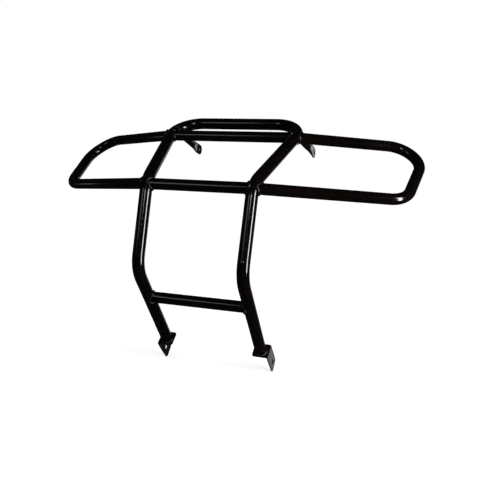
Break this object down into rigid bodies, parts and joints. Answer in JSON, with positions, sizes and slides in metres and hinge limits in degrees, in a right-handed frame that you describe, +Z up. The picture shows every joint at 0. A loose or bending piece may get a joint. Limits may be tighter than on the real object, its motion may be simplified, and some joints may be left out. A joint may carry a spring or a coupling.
{
  "type": "quad bike front bumper",
  "caption": "Welded steel tube front bumper for a quad bike: a bent central hoop with cross tubes, two swept side loops, foot brackets and rear stays.",
  "frame": {"origin": "midway between the two lower bolt holes, on the axis that runs through both foot brackets", "axes": "+Z up, -Y towards the front of the vehicle, +X to the right of a person who stands in front and looks at the bumper"},
  "size_m": [0.9202, 0.4936, 0.5975],
  "materials": {
    "hoop_coat": "gloss black powder coat on bent steel tube",
    "bar_coat": "gloss black powder coat on straight steel tube",
    "loop_coat": "gloss black powder coat on bent steel tube",
    "bracket_coat": "gloss black powder coat on bent steel plate",
    "stay_coat": "gloss black powder coat on steel tube pressed flat at the end",
    "weld_coat": "gloss black powder coat over weld beads"
  },
  "bodies": {
    "root": {"main_hoop": "hoop_coat", "upper_cross_tube": "bar_coat", "lower_cross_tube": "bar_coat", "bottom_rung": "bar_coat", "side_loop_right": "loop_coat", "side_loop_left": "loop_coat", "foot_bracket_right": "bracket_coat", "foot_bracket_left": "bracket_coat", "rear_stay_right": "stay_coat", "rear_stay_left": "stay_coat", "weld_upper_cross_right": "weld_coat", "weld_upper_cross_left": "weld_coat", "weld_lower_cross_right": "weld_coat", "weld_lower_cross_left": "weld_coat", "weld_rung_right": "weld_coat", "weld_rung_left": "weld_coat", "weld_loop_upper_right": "weld_coat", "weld_loop_upper_left": "weld_coat", "weld_loop_lower_right": "weld_coat", "weld_loop_lower_left": "weld_coat", "weld_foot_right": "weld_coat", "weld_foot_left": "weld_coat", "weld_stay_right": "weld_coat", "weld_stay_left": "weld_coat"}
  },
  "joints": []
}
